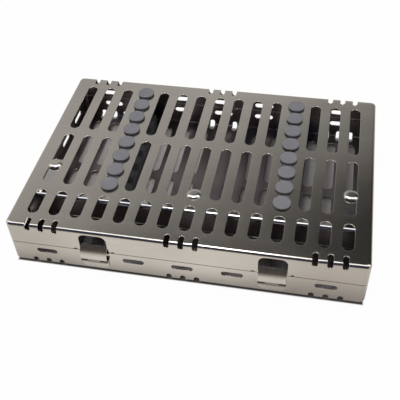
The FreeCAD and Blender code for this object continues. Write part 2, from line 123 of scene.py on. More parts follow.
class NodeBoard:
    def __init__(self, tree):
        self.tree = tree
        tree.nodes.clear()

    def node(self, kind, settings=None, sockets=None):
        # settings go on first, because some of them change which sockets there are
        made = self.tree.nodes.new("ShaderNode" + kind)
        for name, value in (settings or {}).items():
            setattr(made, name, value)
        for name, value in (sockets or {}).items():
            socket = made.inputs[name]
            if isinstance(value, Wave):
                self.tree.links.new(value.socket, socket)
            else:
                socket.default_value = value
        return made

    def add(self, kind, settings=None, sockets=None, output=0):
        return Wave(self.tree, self.node(kind, settings, sockets).outputs[output])

    def noise(self, scale, stretch=(1, 1, 1), detail=3.0, roughness=0.5):
        # noise over the piece's own coordinates in metres, finer where the stretch is larger
        place = self.add("TexCoord", output=3)
        mapped = self.add("Mapping", sockets={"Vector": place, "Scale": stretch})
        return self.add("TexNoise", sockets={"Vector": mapped, "Scale": scale, "Detail": detail,
                                             "Roughness": roughness})

    def place(self):
        # the piece's own coordinates in metres, one wrapped socket for each
        split = self.node("SeparateXYZ", sockets={0: self.add("TexCoord", output=3)})
        return [Wave(self.tree, socket) for socket in split.outputs]

    def eased(self, value, start, end, low, high):
        # low below start, high above end, and a smooth step between them
        return self.add("MapRange", {"interpolation_type": "SMOOTHSTEP"}, {
            "Value": value, "From Min": start, "From Max": end, "To Min": low, "To Max": high})

    def tinted(self, color, shade):
        # the colour times a shade, in every channel
        return self.add("Mix", {"data_type": "RGBA", "blend_type": "MULTIPLY"},
                        {0: 1.0, 6: (*color, 1), 7: shade}, output=2)


def newMaterial(name):
    material = bpy.data.materials.new(name)
    material.use_nodes = True
    return material, NodeBoard(material.node_tree)


# Satin stainless steel

trayLook = {
    "color": (0.545, 0.50, 0.44),
    "drift": 0.17,              # share by which the tone drifts over the sheet
    "roughness": 0.13,
    "roughnessDrift": 0.05,
    "grainScale": 45,
    "grainStretch": (1, 30, 30),
    "grainBump": 0.05,
    "grainDepth": 0.0002,       # metres
    "wobbleScale": 16,
    "wobbleBump": 0.05,
    "wobbleDepth": 0.004,
}
# the inner faces: a darker colour, painted shade for the inside of the shut box, and a rougher finish
shadedInsideLook = dict(trayLook, color=(0.300, 0.262, 0.258), roughness=0.30)
dividerLook = dict(trayLook, color=(0.50, 0.475, 0.45), drift=0.05)
latchLook = dict(trayLook, color=(0.60, 0.56, 0.50), roughness=0.27, drift=0.10)
# the barrels and the latch's tab: a dark colour, painted shade of the gap at the hinge
barrelShadeLook = dict(trayLook, color=(0.25, 0.225, 0.20), roughness=0.35)
rivetLook = dict(trayLook, color=(0.55, 0.51, 0.46), roughness=0.17, drift=0.04, grainBump=0.02)
pinLook = dict(trayLook, color=(0.45, 0.44, 0.43), roughness=0.25)


def makeSteel(name, look):
    # tone = colour * (1 + drift of patches and grain); roughness drifts in the same way
    material, board = newMaterial(name)
    grain = board.noise(look["grainScale"], look["grainStretch"], detail=4.0, roughness=0.6)
    patches = board.noise(look["wobbleScale"], detail=2.0)
    shade = 1 + (patches - 0.5) * (2 * look["drift"]) + (grain - 0.5) * look["drift"]
    rough = look["roughness"] + (patches - 0.5) * look["roughnessDrift"] \
        + (grain - 0.5) * look["roughnessDrift"]
    fine = board.add("Bump", sockets={
        "Strength": look["grainBump"], "Distance": look["grainDepth"], "Height": grain})
    wobble = board.add("Bump", sockets={
        "Strength": look["wobbleBump"], "Distance": look["wobbleDepth"], "Height": patches,
        "Normal": fine})
    surface = board.add("BsdfPrincipled", sockets={
        "Base Color": board.tinted(look["color"], shade), "Metallic": 1.0, "Roughness": rough,
        "Normal": wobble})
    board.node("OutputMaterial", sockets={"Surface": surface})
    return material


# Silicone, matt with a fine grain

siliconeLook = {
    "color": (0.170, 0.165, 0.180),
    "drift": 0.10,
    "roughness": 0.52,
    "roughnessDrift": 0.12,
    "grainScale": 900,
    "grainBump": 0.12,
    "grainDepth": 0.0002,
    "patchScale": 60,
}


def makeSilicone(look):
    material, board = newMaterial("silicone")
    grain = board.noise(look["grainScale"], detail=3.0, roughness=0.6)
    patches = board.noise(look["patchScale"], detail=2.0)
    shade = 1 + (patches - 0.5) * (2 * look["drift"]) + (grain - 0.5) * look["drift"]
    bump = board.add("Bump", sockets={
        "Strength": look["grainBump"], "Distance": look["grainDepth"], "Height": grain})
    surface = board.add("BsdfPrincipled", sockets={
        "Base Color": board.tinted(look["color"], shade),
        "Roughness": look["roughness"] + (patches - 0.5) * look["roughnessDrift"],
        "Normal": bump})
    board.node("OutputMaterial", sockets={"Surface": surface})
    return material


materials = {
    "tray": makeSteel("trayMetal", trayLook),
    "inside": makeSteel("shadedInsideMetal", shadedInsideLook),
    "divider": makeSteel("dividerMetal", dividerLook),
    "latch": makeSteel("latchMetal", latchLook),
    "barrel": makeSteel("barrelShadeMetal", barrelShadeLook),
    "rivet": makeSteel("rivetMetal", rivetLook),
    "pin": makeSteel("pinMetal", pinLook),
    "silicone": makeSilicone(siliconeLook),
}
print("materials made")


# Surfaces as arrays: a part is a pair of points in millimetres and faces

def gridFaces(rows, columns, closed):
    # quads between neighbouring rows and columns; a closed grid joins its last column to its first
    row, column = np.meshgrid(np.arange(rows - 1), np.arange(columns - (not closed)), indexing="ij")
    after = (column + 1) % columns
    corners = [row * columns + column, row * columns + after,
               (row + 1) * columns + after, (row + 1) * columns + column]
    return np.stack(corners, axis=-1).reshape(-1, 4)


def gridPart(grid, closed=False):
    # a grid of points, rows by columns by three, with a quad in each of its cells
    rows, columns = grid.shape[:2]
    return grid.reshape(-1, 3), gridFaces(rows, columns, closed)


def turnedPart(profile, centre, segments):
    # each profile point (radius, level) goes round the centre:
    # x = cx + radius * cos(angle), y = cy + radius * sin(angle), z = cz + level
    angle = np.arange(segments) * (2 * math.pi / segments)
    radius, level = np.asarray(profile, float).T
    x = centre[0] + radius[:, None] * np.cos(angle)
    y = centre[1] + radius[:, None] * np.sin(angle)
    z = centre[2] + np.repeat(level[:, None], segments, axis=1)
    return gridPart(np.stack([x, y, z], axis=-1), closed=True)


def arcPoints(centre, radius, startAngle, endAngle, steps):
    # centre + radius * (cos(angle), sin(angle)), with both ends
    angle = np.radians(np.linspace(startAngle, endAngle, steps))
    return np.stack([centre[0] + radius * np.cos(angle), centre[1] + radius * np.sin(angle)], axis=-1)


def standing(part, across, level, inverted):
    # a lid's parts are worked out with its outer face down, then turned half round about X
    points, *rest = part
    turn = np.array((1, -1, -1) if inverted else (1, 1, 1))
    return points * turn + (across, 0, level), *rest


def addPiece(name, parts, finishes, body, nodes, smoothAngle=40, weighted=False):
    # the parts are merged where they meet, and their normals are turned outwards; a part's
    # third value is the place of its finish in the list
    build = bmesh.new()
    for points, faces, *finish in parts:
        corners = [build.verts.new(point) for point in (points * mm).tolist()]
        for face in faces.tolist():
            build.faces.new([corners[index] for index in face]).material_index = sum(finish)
    bmesh.ops.remove_doubles(build, verts=build.verts, dist=mergeDistance)
    bmesh.ops.dissolve_degenerate(build, edges=build.edges, dist=mergeDistance / 2)
    bmesh.ops.recalc_face_normals(build, faces=build.faces)
    loose = sum(not edge.is_manifold for edge in build.edges)
    mesh = bpy.data.meshes.new(name)
    build.to_mesh(mesh)
    build.free()
    return dressPiece(name, mesh, finishes, body, nodes, smoothAngle, weighted, loose)


def dressPiece(name, mesh, finishes, body, nodes, smoothAngle, weighted, loose):
    mesh.polygons.foreach_set("use_smooth", np.ones(len(mesh.polygons), bool))
    mesh.set_sharp_from_angle(angle=math.radians(smoothAngle))
    for finish in finishes:
        mesh.materials.append(materials[finish])
    piece = bpy.data.objects.new(name, mesh)
    bpy.context.scene.collection.objects.link(piece)
    if weighted:
        weight = piece.modifiers.new("weight", "WEIGHTED_NORMAL")
        weight.weight = 100
        weight.keep_sharp = True
    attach(piece, body)
    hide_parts(*nodes)
    print(name, "faces", len(mesh.polygons), "open edges", loose)
    return piece


# Trays: a flat blank with its openings, folded up round its bends

trayForm = {
    "length": 280.0,
    "depth": 194.0,
    "steel": sheetThickness,
    "cornerRadius": 4.5,
    "bendRadius": 2.5,
    "bendSteps": 6,
    "cornerSteps": 7,
    "cutRounding": 0.3,         # at every cut edge of the sheet
    "slotPitch": 17.5,
    "slotWidth": 8.75,
    "slotRows": ((26.25, 78.75), (-43.75, 8.75), (-78.75, -61.25)),
    "halfColumns": 7,
    "notchWidth": 4.2,
    "notchPitch": 11.0,
    "notchGroupPlace": 110.7,
    "notchReach": 8.6,
    "notchDrop": 5.7,
    "openingLength": 17.0,
    "openingWidth": 4.5,
    "openingLevel": 15.0,
    "openingPlaces": (-110.0, -39.0, 0.0, 39.0, 110.0),
    "endOpeningPlaces": (-70.0, -35.0, 0.0, 35.0, 70.0),
    "windowPlaces": (-69.75, 69.75),
    "windowHalf": 11.0,
    "windowLevels": (3.3, 18.0),
    "windowRadius": 5.5,
    "nickReach": 15.0,
    "nickRadius": 1.3,
    "slotSteps": 15,            # points round one end of a slot, then of a notch or an opening
    "endSteps": 9,
    "windowSteps": 8,
    "nickSteps": 11,
}
baseForm = dict(trayForm, height=22.0, level=2.4, inverted=False)
lidForm = dict(trayForm, height=20.8, level=45.4, inverted=True)


def bendLength(form):
    return form["bendRadius"] * math.pi / 2


def blankReach(half, level, form):
    # where on the flat blank a level of a wall lies: the bend line, plus the bend, plus the rest
    return half - form["bendRadius"] + bendLength(form) + level - form["bendRadius"]


def foldedSheet(flat, depth, form):
    # a point past a bend line by s turns by s / radius, to a right angle at most, then rises:
    # out = line + (radius - depth) * sin(turn)
    # up = radius - (radius - depth) * cos(turn) + rest
    radius = form["bendRadius"]
    line = np.array([form["length"], form["depth"]]) / 2 - radius
    depth = np.broadcast_to(depth, flat.shape[:-1])[..., None]
    past = np.maximum(np.abs(flat) - line, 0)
    turn = np.minimum(past / radius, math.pi / 2)
    rest = np.maximum(past - bendLength(form), 0)
    out = np.where(past > 0, np.sign(flat) * (line + (radius - depth) * np.sin(turn)), flat)
    rise = radius - (radius - depth) * np.cos(turn) + rest - depth
    return np.concatenate([out, depth + rise.sum(axis=-1, keepdims=True)], axis=-1)


def cutProfile(form):
    # round a cut edge: how far into the sheet, and how deep below its outer face
    rounding, steel = form["cutRounding"], form["steel"]
    first = arcPoints((rounding, rounding), rounding, -90, -180, 4)
    last = arcPoints((rounding, steel - rounding), rounding, 180, 90, 4)
    return np.concatenate([first, last])


def cutEdge(outline, move, form, fold, closed=True):
    # the rounded cut edge along an outline: each row of points goes into the sheet by the first
    # value of the profile and below its outer face by the second
    profile = cutProfile(form)
    return gridPart(fold(outline + profile[:, None, :1] * move, profile[:, None, 1], form), closed)


def outlineMiter(points, closed):
    # unit normals of the two edges at a corner, added and divided by 1 + their product, give the
    # way in which an outline moves when all its edges move by one
    following = np.roll(points, -1, axis=0) - points
    if not closed:
        following[-1] = following[-2]
    normal = np.stack([following[:, 1], -following[:, 0]], axis=-1)
    normal /= np.linalg.norm(normal, axis=1, keepdims=True)
    before = np.roll(normal, 1, axis=0)
    if not closed:
        before[0] = normal[0]
    product = (normal * before).sum(axis=1, keepdims=True)
    return (normal + before) / (1 + product)


def openingMove(outline):
    # away from the opening's middle, into the steel
    move = -outlineMiter(outline, closed=True)
    return -move if ((outline - outline.mean(axis=0)) * move).sum() < 0 else move


def obround(across, low, high, radius, steps, turned=False, extra=()):
    # a slot between two end centres; extra gives places for more points along its sides
    top = arcPoints((across, high), radius, 0, 180, steps)
    bottom = arcPoints((across, low), radius, 180, 360, steps)
    up = [(across + radius, place) for place in sorted(extra)]
    down = [(across - radius, place) for place in sorted(extra, reverse=True)]
    loop = np.concatenate([np.array(part, float).reshape(-1, 2) for part in (top, down, bottom, up)])
    return loop[::-1, ::-1] if turned else loop


def bendLines(form):
    # distances past the bend line at which the bend has a row of points
    return np.linspace(0, bendLength(form), form["bendSteps"] + 1)


def trayHoles(form):
    # closed outlines on the flat blank, each going round anticlockwise
    holes = []
    width, depth = form["length"] / 2, form["depth"] / 2
    sign = -1 if form["inverted"] else 1
    for column in range(-form["halfColumns"], form["halfColumns"] + 1):
        for low, high in form["slotRows"]:
            low, high = sorted((sign * low, sign * high))
            holes.append(obround(column * form["slotPitch"], low, high, form["slotWidth"] / 2,
                                 form["slotSteps"]))
    radius, steps = form["notchWidth"] / 2, form["endSteps"]
    lines = depth - form["bendRadius"] + bendLines(form)
    for group in (-1, 0, 1):
        for step in (-1, 0, 1):
            place = group * form["notchGroupPlace"] + step * form["notchPitch"]
            near = depth - form["notchReach"] + radius
            far = blankReach(depth, form["notchDrop"] - radius, form)
            holes.append(obround(place, near, far, radius, steps, extra=lines))
            holes.append(obround(place, -far, -near, radius, steps, extra=-lines))
    radius = form["openingWidth"] / 2
    half = form["openingLength"] / 2 - radius
    level = blankReach(depth, form["openingLevel"], form)
    walls = (sign,) if form["inverted"] else (1, -1)
    for wall in walls:
        for place in form["openingPlaces"]:
            holes.append(obround(wall * level, place - half, place + half, radius, steps, turned=True))
    if form["inverted"]:
        holes.extend(windowOutline(place, form) for place in form["windowPlaces"])
    else:
        level = blankReach(width, form["openingLevel"], form)
        for wall in (1, -1):
            for place in form["endOpeningPlaces"]:
                holes.append(obround(wall * level, place - half, place + half, radius, steps))
    return holes


def windowOutline(place, form):
    # an upright rectangle on the front wall, with its two corners next to the lid's top rounded
    low, high = (blankReach(form["depth"] / 2, level, form) for level in form["windowLevels"])
    half, radius, steps = form["windowHalf"], form["windowRadius"], form["windowSteps"]
    corners = [arcPoints((place - half + radius, low + radius), radius, 180, 270, steps),
               arcPoints((place + half - radius, low + radius), radius, 270, 360, steps),
               np.array([(place + half, high), (place - half, high)])]
    return np.concatenate(corners)


def rimOutline(form, half):
    # the far edge of the front wall's blank from left to right, with a nick at each side of
    # each window; half is where the rounded corners of the tray start
    reach = blankReach(form["depth"] / 2, form["height"], form)
    points = [np.array([(-half, reach)])]
    if form["inverted"]:
        for place in form["windowPlaces"]:
            for side in (-1, 1):
                centre = (place + side * form["nickReach"], reach)
                points.append(arcPoints(centre, form["nickRadius"], 180, 360, form["nickSteps"]))
    points.append(np.array([(half, reach)]))
    return np.concatenate(points)


def insideOutline(points, outline):
    # inside is where a level ray from the point crosses the outline an odd number of times
    x, y = points.T
    start, end = outline[:, :, None], np.roll(outline, -1, axis=0)[:, :, None]
    with np.errstate(divide="ignore", invalid="ignore"):
        reach = start[:, 0] + (y - start[:, 1]) * (end[:, 0] - start[:, 0]) / (end[:, 1] - start[:, 1])
    crosses = ((start[:, 1] > y) != (end[:, 1] > y)) & (x < reach)
    return crosses.sum(axis=0) % 2 == 1


def makeTray(node, form, body):
    # the blank is a cross; its four corners are made apart, as quarter rounds
    rounding, steel = form["cutRounding"], form["steel"]
    width, depth = form["length"] / 2, form["depth"] / 2
    innerX, innerY = width - form["cornerRadius"], depth - form["cornerRadius"]
    farX = blankReach(width, form["height"], form) - rounding
    farY = blankReach(depth, form["height"], form) - rounding
    parts = []

    # cut edges of the openings, then of the rim; the lid's front is at +Y before it turns
    holes = trayHoles(form)
    moves = [openingMove(hole) for hole in holes]
    for outline, move in zip(holes, moves):
        parts.append(cutEdge(outline, move, form, foldedSheet))
    backSide = -1 if form["inverted"] else 1
    rim = rimOutline(form, innerX)
    front = rim * (1, -backSide)
    frontMove = outlineMiter(rim, closed=False) * (1, -backSide)
    rims = [(front, frontMove),
            (np.array([(-innerX, 1), (innerX, 1)]) * (1, backSide * (farY + rounding)),
             np.array((0, -backSide)))]
    for side in (-1, 1):
        across = side * (farX + rounding)
        rims.append((np.array([(across, -innerY), (across, innerY)]), np.array((-side, 0))))
    for outline, move in rims:
        parts.append(cutEdge(outline, move, form, foldedSheet, closed=False))

    # the faces of the blank, between its openings
    loops = [hole + move * rounding for hole, move in zip(holes, moves)]
    frontLoop = front + frontMove * rounding
    points, edges = [], []

    def addChain(chain, closed):
        start = sum(len(part) for part in points)
        points.append(chain)
        count = len(chain)
        edges.extend((start + index, start + (index + 1) % count)
                     for index in range(count - (not closed)))

    for loop in loops:
        addChain(loop, closed=True)
    addChain(frontLoop, closed=False)
    steps = np.concatenate([[0], form["cornerRadius"] - form["bendRadius"] + bendLines(form)])
    for sideX in (-1, 1):
        for sideY in (-1, 1):
            rise = np.append(innerY + steps, farY)
            addChain(np.stack([np.full(len(rise), sideX * innerX), sideY * rise], axis=-1), False)
            reach = np.append(innerX + steps, farX)
            addChain(np.stack([sideX * reach, np.full(len(reach), sideY * innerY)], axis=-1), False)
    addChain(np.array([(-innerX, 1), (innerX, 1)]) * (1, backSide * farY), False)
    for side in (-1, 1):
        addChain(np.array([(side * farX, -innerY), (side * farX, innerY)]), False)
        for step in bendLines(form):
            across = side * (width - form["bendRadius"] + step)
            addChain(np.array([(across, -innerY), (across, innerY)]), False)
        for step in bendLines(form):
            up = side * (depth - form["bendRadius"] + step)
            gaps = sorted(place for loop in loops for place in crossings(loop, up))
            stops = [-innerX] + gaps + [innerX]
            for left, right in zip(stops[::2], stops[1::2]):
                addChain(np.array([(left, up), (right, up)]), False)

    flat, faces = filledBlank(np.concatenate(points), edges, loops, frontLoop, form,
                              (innerX, innerY, farX, farY))
    parts.append((foldedSheet(flat, 0.0, form), faces))
    # the inner face takes the darker colour, painted shade
    parts.append((foldedSheet(flat, steel, form), faces, 1))

    # corners: columns of the wall's profile, turned round the corner's middle
    angle = np.radians(np.linspace(0, 90, form["cornerSteps"] + 1))
    for sideX in (-1, 1):
        for sideY in (-1, 1):
            across = sideX * np.cos(angle)
            along = sideY * np.sin(angle)
            # the inner faces of the corners take the painted shade too
            for finish, level in enumerate((0.0, steel)):
                column = cornerColumn(steps, farY - innerY, level, form)
                grid = roundCorner(column, sideX * innerX, sideY * innerY, across, along)
                parts.append((*gridPart(grid), finish))
            lip = np.concatenate([cornerColumn([], farY + rounding - into - innerY, level, form)
                                  for into, level in cutProfile(form)])
            parts.append(gridPart(roundCorner(lip, sideX * innerX, sideY * innerY, across, along)))

    parts = [standing(part, 0, form["level"], form["inverted"]) for part in parts]
    return addPiece("sheet_" + node, parts, ["tray", "inside"], body, [node],
                    smoothAngle=50, weighted=True)


def crossings(loop, up):
    # where the sides of an outline have points at this place along the blank
    found = loop[np.isclose(loop[:, 1], up, rtol=0, atol=0.001), 0]
    return [found.min(), found.max()] if len(found) > 1 else []


def cornerColumn(steps, far, depth, form):
    # distances from the corner's middle, and levels, along one column of the wall
    lengths = np.append(np.asarray(steps, float), far)
    straight = form["cornerRadius"] - form["bendRadius"]
    past = np.maximum(lengths - straight, 0)
    turn = np.minimum(past / form["bendRadius"], math.pi / 2)
    rest = np.maximum(past - bendLength(form), 0)
    reach = np.minimum(lengths, straight) + (form["bendRadius"] - depth) * np.sin(turn)
    level = form["bendRadius"] - (form["bendRadius"] - depth) * np.cos(turn) + rest
    return np.stack([reach, level], axis=-1)


def roundCorner(column, middleX, middleY, across, along):
    # x = middle + reach * cos(angle), y = middle + reach * sin(angle), z = level
    x = middleX + column[:, :1] * across
    y = middleY + column[:, :1] * along
    z = np.repeat(column[:, 1:], len(across), axis=1)
    return np.stack([x, y, z], axis=-1)


def triangulated(points, edges):
    # the points, the triangles between all the lines, and the triangles' middles
    made = delaunay_2d_cdt([Vector(point) for point in points.tolist()], edges, [], 0, 0.00001)
    flat = np.array([tuple(point) for point in made[0]])
    faces = np.array(made[2])
    return flat, faces, flat[faces].mean(axis=1)


def filledBlank(points, edges, loops, frontLoop, form, limits):
    # triangles are kept where the blank has steel
    flat, faces, middle = triangulated(points, edges)
    innerX, innerY, farX, farY = limits
    x, y = np.abs(middle).T
    keep = ((x < innerX) & (y < farY)) | ((x < farX) & (y < innerY))
    for loop in loops:
        keep &= ~insideOutline(middle, loop)
    if form["inverted"]:
        for nick in np.split(frontLoop[1:-1], 2 * len(form["windowPlaces"])):
            keep &= ~insideOutline(middle, nick)
    return flat, faces[keep]


def filledStrip(loops, rows, half, extra=()):
    # triangles inside the first outline and outside the others, with an edge across the strip at
    # each row; gives their points, the triangles and how far along the strip each of them is
    edges, count = [], 0
    for loop in loops:
        edges += [(count + index, count + (index + 1) % len(loop)) for index in range(len(loop))]
        count += len(loop)
    edges += [(count + 2 * index, count + 2 * index + 1) for index in range(len(rows))]
    ends = [(side * half, row) for row in rows for side in (-1, 1)]
    flat, faces, middle = triangulated(np.concatenate([*loops, ends]), [*edges, *extra])
    inside = [insideOutline(middle, loop) for loop in loops]
    kept = inside[0] & ~np.any(inside[1:], axis=0)
    return flat, faces[kept], middle[kept, 1]


makeTray("base_tray", baseForm, "base")
makeTray("lid_tray", lidForm, "lid")
print("trays made")


# Silicone rails: a bar with seats, and plugs with round heads outside the sheet

railForm = {
    "plugPitch": 17.5,
    "firstPlug": -43.75,
    "plugs": 8,
    "steel": sheetThickness,
    "headRadius": 7.2,
    "headThickness": 1.8,
    "headGap": 0.6,
    "headRounding": 0.5,
    "dishRadius": 5.4,
    "dishDepth": 0.1,
    "dishSlope": 0.5,
    "neckRadius": 4.0,
    "neckEnd": 0.5,             # inside the bar
    "width": 11.5,
    "overhang": 6.0,
    "rounding": 1.0,
    "lift": 0.02,               # between the bar and the sheet
    "baseHeight": 14.0,
    "lidHeight": 7.0,
    "seatWidth": 8.0,
    "seatDepth": 7.0,
    "seatRounding": 1.0,
    "segments": 48,
}


def plugProfile(form):
    # from the middle of the outer face, over the rounded rim, to the neck that enters the bar;
    # level 0 is the outer face of the sheet, and outside is below it
    outer = -(form["headThickness"] + form["headGap"])
    inner = -form["headGap"]
    rounding, rim = form["headRounding"], form["headRadius"]
    floor = outer + form["dishDepth"]
    dish = [(0, floor), (form["dishRadius"] - form["dishSlope"], floor), (form["dishRadius"], outer)]
    low = arcPoints((rim - rounding, outer + rounding), rounding, -90, 0, 6)
    high = arcPoints((rim - rounding, inner - rounding), rounding, 0, 90, 5)
    end = form["steel"] + form["neckEnd"]
    neck = [(form["neckRadius"], inner), (form["neckRadius"], end), (0, end)]
    return np.concatenate([dish, low, high, neck])


def seatShape(along, form):
    # 1 in the middle of a seat and 0 between seats, eased over its rounded lips by 3s^2 - 2s^3
    place = np.round((along - form["firstPlug"]) / form["plugPitch"])
    nearest = form["firstPlug"] + np.clip(place, 0, form["plugs"] - 1) * form["plugPitch"]
    lip = form["seatWidth"] / 2 + form["seatRounding"] - np.abs(along - nearest)
    step = np.clip(lip / form["seatRounding"], 0, 1)
    return step * step * (3 - 2 * step)


def barPart(form, height, seated):
    # each ring is a rectangle with rounded corners: corner middle + rounding * (cos, sin);
    # its top follows the seats, and the first and last rings shrink to a point
    span = (form["plugs"] - 1) * form["plugPitch"] + 2 * form["overhang"]
    start = form["firstPlug"] - form["overhang"]
    along = start + np.linspace(0, span, 1 + round(span * 2))
    along = np.concatenate([along[:1], along, along[-1:]])
    rounding = form["rounding"]
    inset = np.clip(np.minimum(along - start, start + span - along) / rounding, 0, 1)
    ease = 1 - np.sqrt(1 - (1 - inset) ** 2)
    half = form["width"] / 2 - rounding * ease
    low = form["steel"] + form["lift"] + rounding * ease
    top = form["steel"] + height - rounding * ease
    if seated:
        top = np.minimum(top, form["steel"] + height - form["seatDepth"] * seatShape(along, form))
    quarters = [np.linspace(start, start + 90, 5) for start in (0, 90, 180, 270)]
    angle = np.radians(np.concatenate(quarters))
    sideX = np.repeat((1, -1, -1, 1), 5)
    upper = np.repeat((True, True, False, False), 5)
    x = sideX * (half - rounding)[:, None] + rounding * np.cos(angle)
    z = np.where(upper, (top - rounding)[:, None], (low + rounding)[:, None]) + rounding * np.sin(angle)
    x[[0, -1]] = 0
    z[[0, -1]] = ((low + top) / 2)[[0, -1], None]
    y = np.repeat(along[:, None], len(angle), axis=1)
    return gridPart(np.stack([x, y, z], axis=-1), closed=True)


def makeRail(node, height, inverted, body):
    low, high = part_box(node)
    across = (low.x + high.x) / 2 / mm
    form = railForm
    foot = form["headThickness"] + form["headGap"]
    level = high.z / mm - foot if inverted else low.z / mm + foot
    profile = plugProfile(form)
    if inverted:
        lastPlug = form["firstPlug"] + (form["plugs"] - 1) * form["plugPitch"]
        form = dict(form, firstPlug=-lastPlug)
    parts = []
    for index in range(form["plugs"]):
        centre = (0, form["firstPlug"] + index * form["plugPitch"], 0)
        parts.append(turnedPart(profile, centre, form["segments"]))
    parts.append(barPart(form, height, seated=not inverted))
    parts = [standing(part, across, level, inverted) for part in parts]
    return addPiece("soft_" + node, parts, ["silicone"], body, [node])


for side in ("left", "right"):
    makeRail("base_rail_" + side, railForm["baseHeight"], False, "base")
    makeRail("lid_rail_" + side, railForm["lidHeight"], True, "lid")
print("rails made")


# Dividers: a flange under the sheet with ears for the rivets, a round fold and a web

dividerForm = {
    "half": 136.1,
    "length": 1000.0,           # far past its ends, so that only the fold turns the strip
    "depth": 124.36,            # twice the distance of the web from the middle
    "bendRadius": 2.5,
    "bendSteps": 8,
    "steel": sheetThickness,
    "cutRounding": 0.2,
    "flangeBack": 50.68,
    "webHeight": 20.2,
    "ears": ((-122.5, 19.25), (0.0, 36.75), (122.5, 19.25)),
    "earHalf": 7.5,
    "earRounding": 3.0,
    "gapPlace": 56.8,           # openings behind the fold, one for each slot of the front row
    "gapHalf": 3.8,
    "gapRadius": 2.5,
    "earSteps": 6,
    "gapSteps": 9,
    "lift": 0.01,               # between the flange and the tray
}


def dividerOutline(form, far):
    # anticlockwise from the flange's back edge, with its ears, to the web's free edge
    half, back = form["half"], form["flangeBack"]
    radius, steps = form["earRounding"], form["earSteps"]
    points = [np.array([(-half, back)])]
    for place, reach in form["ears"]:
        left, right = place - form["earHalf"], place + form["earHalf"]
        points.append(np.array([(left, back)]))
        points.append(arcPoints((left + radius, reach + radius), radius, 180, 270, steps))
        points.append(arcPoints((right - radius, reach + radius), radius, 270, 360, steps))
        points.append(np.array([(right, back)]))
    rows = form["depth"] / 2 - form["bendRadius"] + bendLines(form)
    side = np.concatenate([[back], rows, [far]])
    points.append(np.stack([np.full(len(side), half), side], axis=-1))
    points.append(np.stack([np.full(len(side) - 1, -half), side[:0:-1]], axis=-1))
    return np.concatenate(points), rows


def makeDivider(node, tray, body):
    form = dividerForm
    far = blankReach(form["depth"] / 2, form["webHeight"], form)
    outline, rows = dividerOutline(form, far)
    columns = np.arange(-tray["halfColumns"], tray["halfColumns"] + 1) * tray["slotPitch"]
    gaps = [obround(form["gapPlace"], place - form["gapHalf"], place + form["gapHalf"],
                    form["gapRadius"], form["gapSteps"], turned=True) for place in columns]
    front = np.array((1, 1 if tray["inverted"] else -1))
    moves = [-outlineMiter(outline, closed=True)] + [openingMove(gap) for gap in gaps]
    parts, loops = [], []
    for line, move in zip([outline, *gaps], moves):
        loops.append(line + move * form["cutRounding"])
        parts.append(cutEdge(line * front, move * front, form, foldedSheet))
    flat, faces, along = filledStrip(loops, rows, form["half"] - form["cutRounding"])
    web = along > rows[-1]
    # the web, on both faces, takes the darker colour of the inner faces, painted shade
    for level in (0.0, form["steel"]):
        folded = foldedSheet(flat * front, level, form)
        parts += [(folded, faces[~web]), (folded, faces[web], 1)]
    gap = form["steel"] + form["lift"]
    level = tray["level"] + (-gap if tray["inverted"] else gap)
    parts = [standing(part, 0, level, tray["inverted"]) for part in parts]
    return addPiece("folded_" + node, parts, ["divider", "inside"], body, [node],
                    smoothAngle=50, weighted=True)


makeDivider("base_divider", baseForm, "base")
makeDivider("lid_divider", lidForm, "lid")
print("dividers made")


# Divider rivets: domed heads outside, small flat tails inside

rivetForm = {
    "places": ((-122.5, -26.25), (0.0, -43.75), (122.5, -26.25)),
    "radius": 6.0,
    "dome": 2.0,
    "shank": 2.5,
    "tailRadius": 4.0,
    "tail": 1.0,
    "tailStraight": 0.6,        # its share below the chamfer
    "tailChamfer": 0.4,
    "domeSteps": 20,
    "steel": sheetThickness,
    "segments": 48,
}


def rivetProfile(form):
    # a low head, nearly flat in the middle: level = -dome * (1 - (radius / r)^4)^0.6
    radius = form["radius"] * np.sin(np.radians(np.linspace(0, 90, form["domeSteps"])))
    level = -form["dome"] * np.clip(1 - (radius / form["radius"]) ** 4, 0, 1) ** 0.6
    inside, tail = 2 * form["steel"], form["tailRadius"]
    end = inside + form["tail"]
    rest = [(form["shank"], 0), (form["shank"], inside), (tail, inside),
            (tail, inside + form["tail"] * form["tailStraight"]),
            (tail - form["tailChamfer"], end), (0, end)]
    return np.concatenate([np.stack([radius, level], axis=-1), rest])


def makeRivets(node, inverted, body):
    form = rivetForm
    low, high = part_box(node)
    level = high.z / mm - form["dome"] if inverted else low.z / mm + form["dome"]
    profile = rivetProfile(form)
    sign = -1 if inverted else 1
    parts = [turnedPart(profile, (across, sign * along, 0), form["segments"])
             for across, along in form["places"]]
    parts = [standing(part, 0, level, inverted) for part in parts]
    return addPiece("domed_" + node, parts, ["rivet"], body, [node])


makeRivets("base_divider_rivets", False, "base")
makeRivets("lid_divider_rivets", True, "lid")
print("rivets made")


# Latch plates: upright at the pin, then leaning in over the sill of the lid's window

plateForm = {
    "places": {"left": -69.75, "right": 69.75},
    "face": -101.1,             # outer face
    "low": 18.9,                # level of the plate's lower edge, then of its tab's
    "tabLow": 16.8,
    "half": 10.75,
    "tabHalf": 5.0,
    "steel": sheetThickness,
    "bendStart": 19.5,
    "bendRadius": 15.0,
    "lean": 38.0,
    "bendSteps": 10,
    "straight": 0.4,            # between the bend and the rounded corners of the tip
    "tip": 2.8,
    "tipSteps": 8,
    "cutRounding": 0.2,
    "barrel": (-99.2, 16.0),
    "barrelRadius": 1.75,
    "segments": 40,
}


